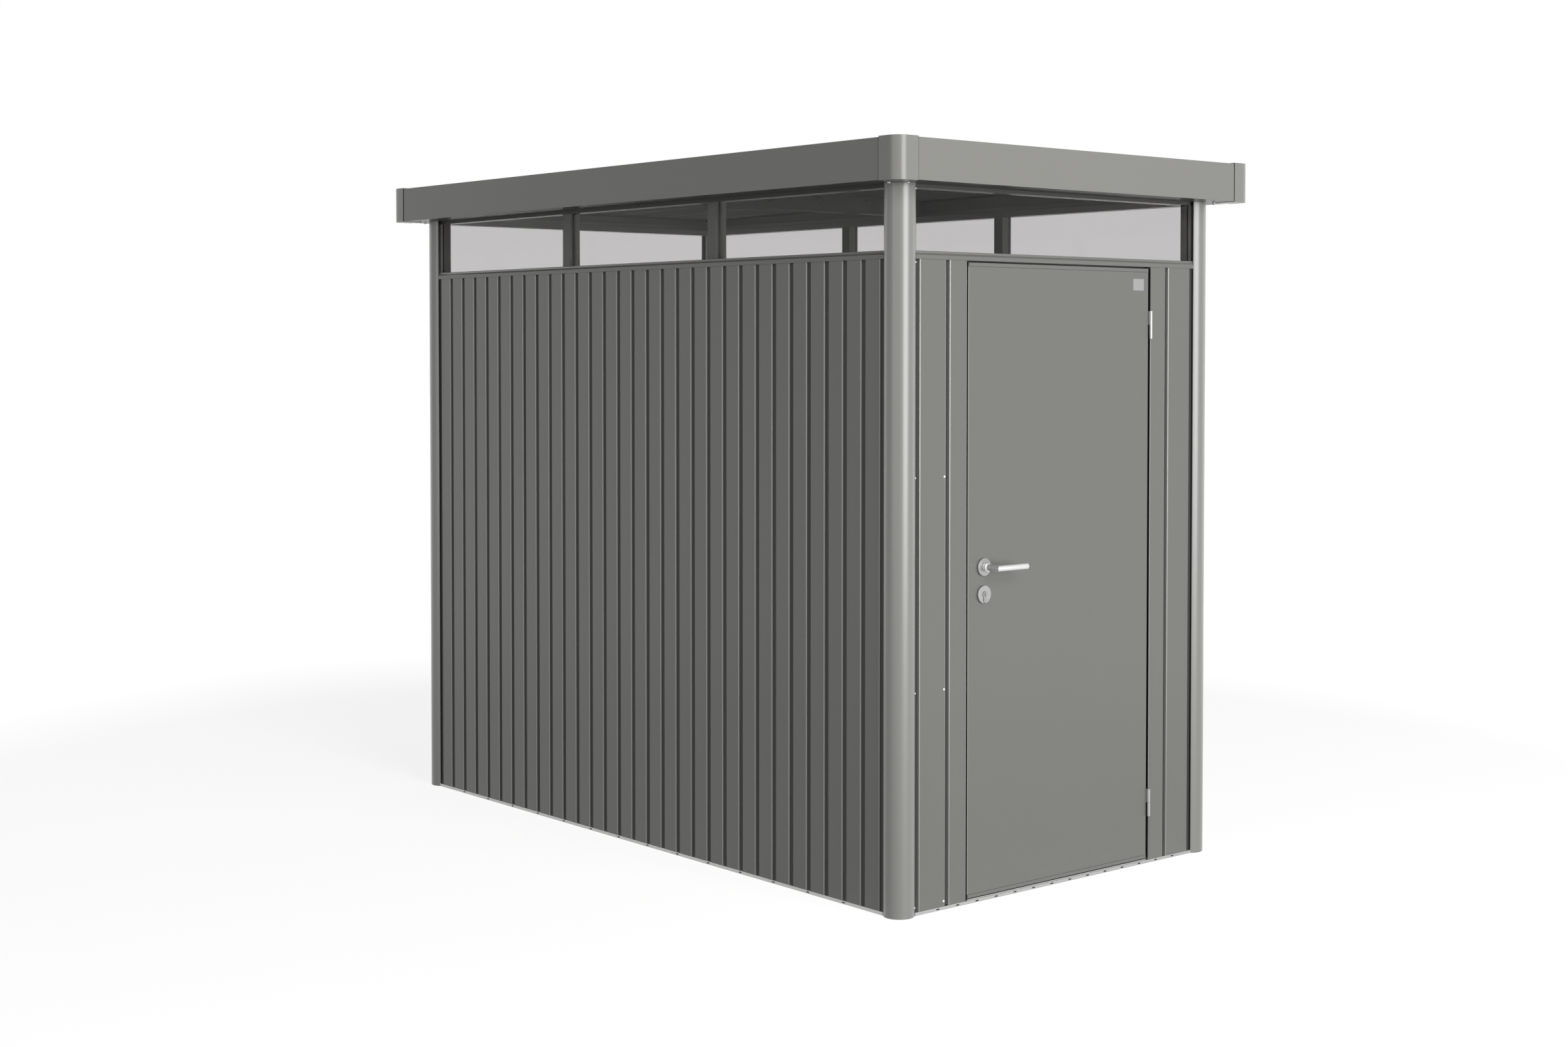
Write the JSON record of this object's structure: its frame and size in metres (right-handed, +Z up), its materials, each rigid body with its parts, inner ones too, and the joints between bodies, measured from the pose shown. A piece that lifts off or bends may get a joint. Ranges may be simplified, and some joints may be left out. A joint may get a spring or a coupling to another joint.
{
  "type": "metal tool shed",
  "caption": "Flat-roofed metal tool shed with grooved sheet walls, rounded corner posts, a strip of high windows and a side-hinged door with a lever handle",
  "frame": {"origin": "on the ground in the middle of the roof's outline", "axes": "Z up, front wall with the door faces -Y, +X to the right seen from the front, long walls at -X and +X"},
  "size_m": [1.553, 2.753, 2.223],
  "materials": {
    "wall_paint": "satin metallic grey coil-coated steel sheet",
    "door_paint": "satin metallic grey coated steel sheet",
    "post_paint": "satin metallic grey coated profile",
    "rail_paint": "satin metallic grey coated profile",
    "fascia_paint": "satin metallic grey coated steel sheet",
    "roof_paint": "satin grey coated ribbed steel sheet",
    "base_aluminium": "plain extruded floor frame",
    "window_glass": "clear glazing sheet",
    "brushed_steel": "satin stainless steel",
    "cylinder_nickel": "matt nickel-plated lock cylinder",
    "hinge_steel": "bright plated steel",
    "bare_plate": "plain light plate"
  },
  "bodies": {
    "shell": {"back_wall": "wall_paint", "base_rail_back": "base_aluminium", "base_rail_front": "base_aluminium", "base_rail_left": "base_aluminium", "base_rail_right": "base_aluminium", "door_head_stop": "wall_paint", "door_jambs": "wall_paint", "fascia_back": "fascia_paint", "fascia_corner_caps": "fascia_paint", "fascia_front": "fascia_paint", "fascia_left": "fascia_paint", "fascia_right": "fascia_paint", "front_wall_left": "wall_paint", "front_wall_right": "wall_paint", "head_beam_back": "rail_paint", "head_beam_front": "rail_paint", "head_beam_left": "rail_paint", "head_beam_right": "rail_paint", "hinge_frame_halves": "hinge_steel", "left_wall": "wall_paint", "post_back_left": "post_paint", "post_back_right": "post_paint", "post_front_left": "post_paint", "post_front_right": "post_paint", "right_wall": "wall_paint", "roof_cross_beam": "rail_paint", "roof_sheet": "roof_paint", "sill_rail_back": "rail_paint", "sill_rail_front": "rail_paint", "sill_rail_left": "rail_paint", "sill_rail_right": "rail_paint", "window_glass_back": "window_glass", "window_glass_front": "window_glass", "window_glass_left": "window_glass", "window_glass_right": "window_glass", "window_mullions": "rail_paint"},
    "door": {"door_leaf": "door_paint", "door_stiffeners": "door_paint", "lock_case": "brushed_steel", "lock_cylinder": "cylinder_nickel", "lock_plates": "brushed_steel", "door_plate": "bare_plate", "hinge_leaf_halves": "hinge_steel"},
    "lever": {"lever_outer": "brushed_steel", "lever_inner": "brushed_steel"}
  },
  "joints": [
    {"name": "door_hinge", "type": "hinge", "parent": "shell", "child": "door", "pos_m": [0.4015, -1.2828, 0.94], "axis": [0, 0, 1], "range_deg": [0, 110]},
    {"name": "lever_turn", "type": "hinge", "parent": "door", "child": "lever", "pos_m": [-0.3385, -1.2644, 0.988], "axis": [0, 1, 0], "range_deg": [0, 40], "stiffness_Nm_per_rad": 2, "springref_deg": -28.65}
  ]
}
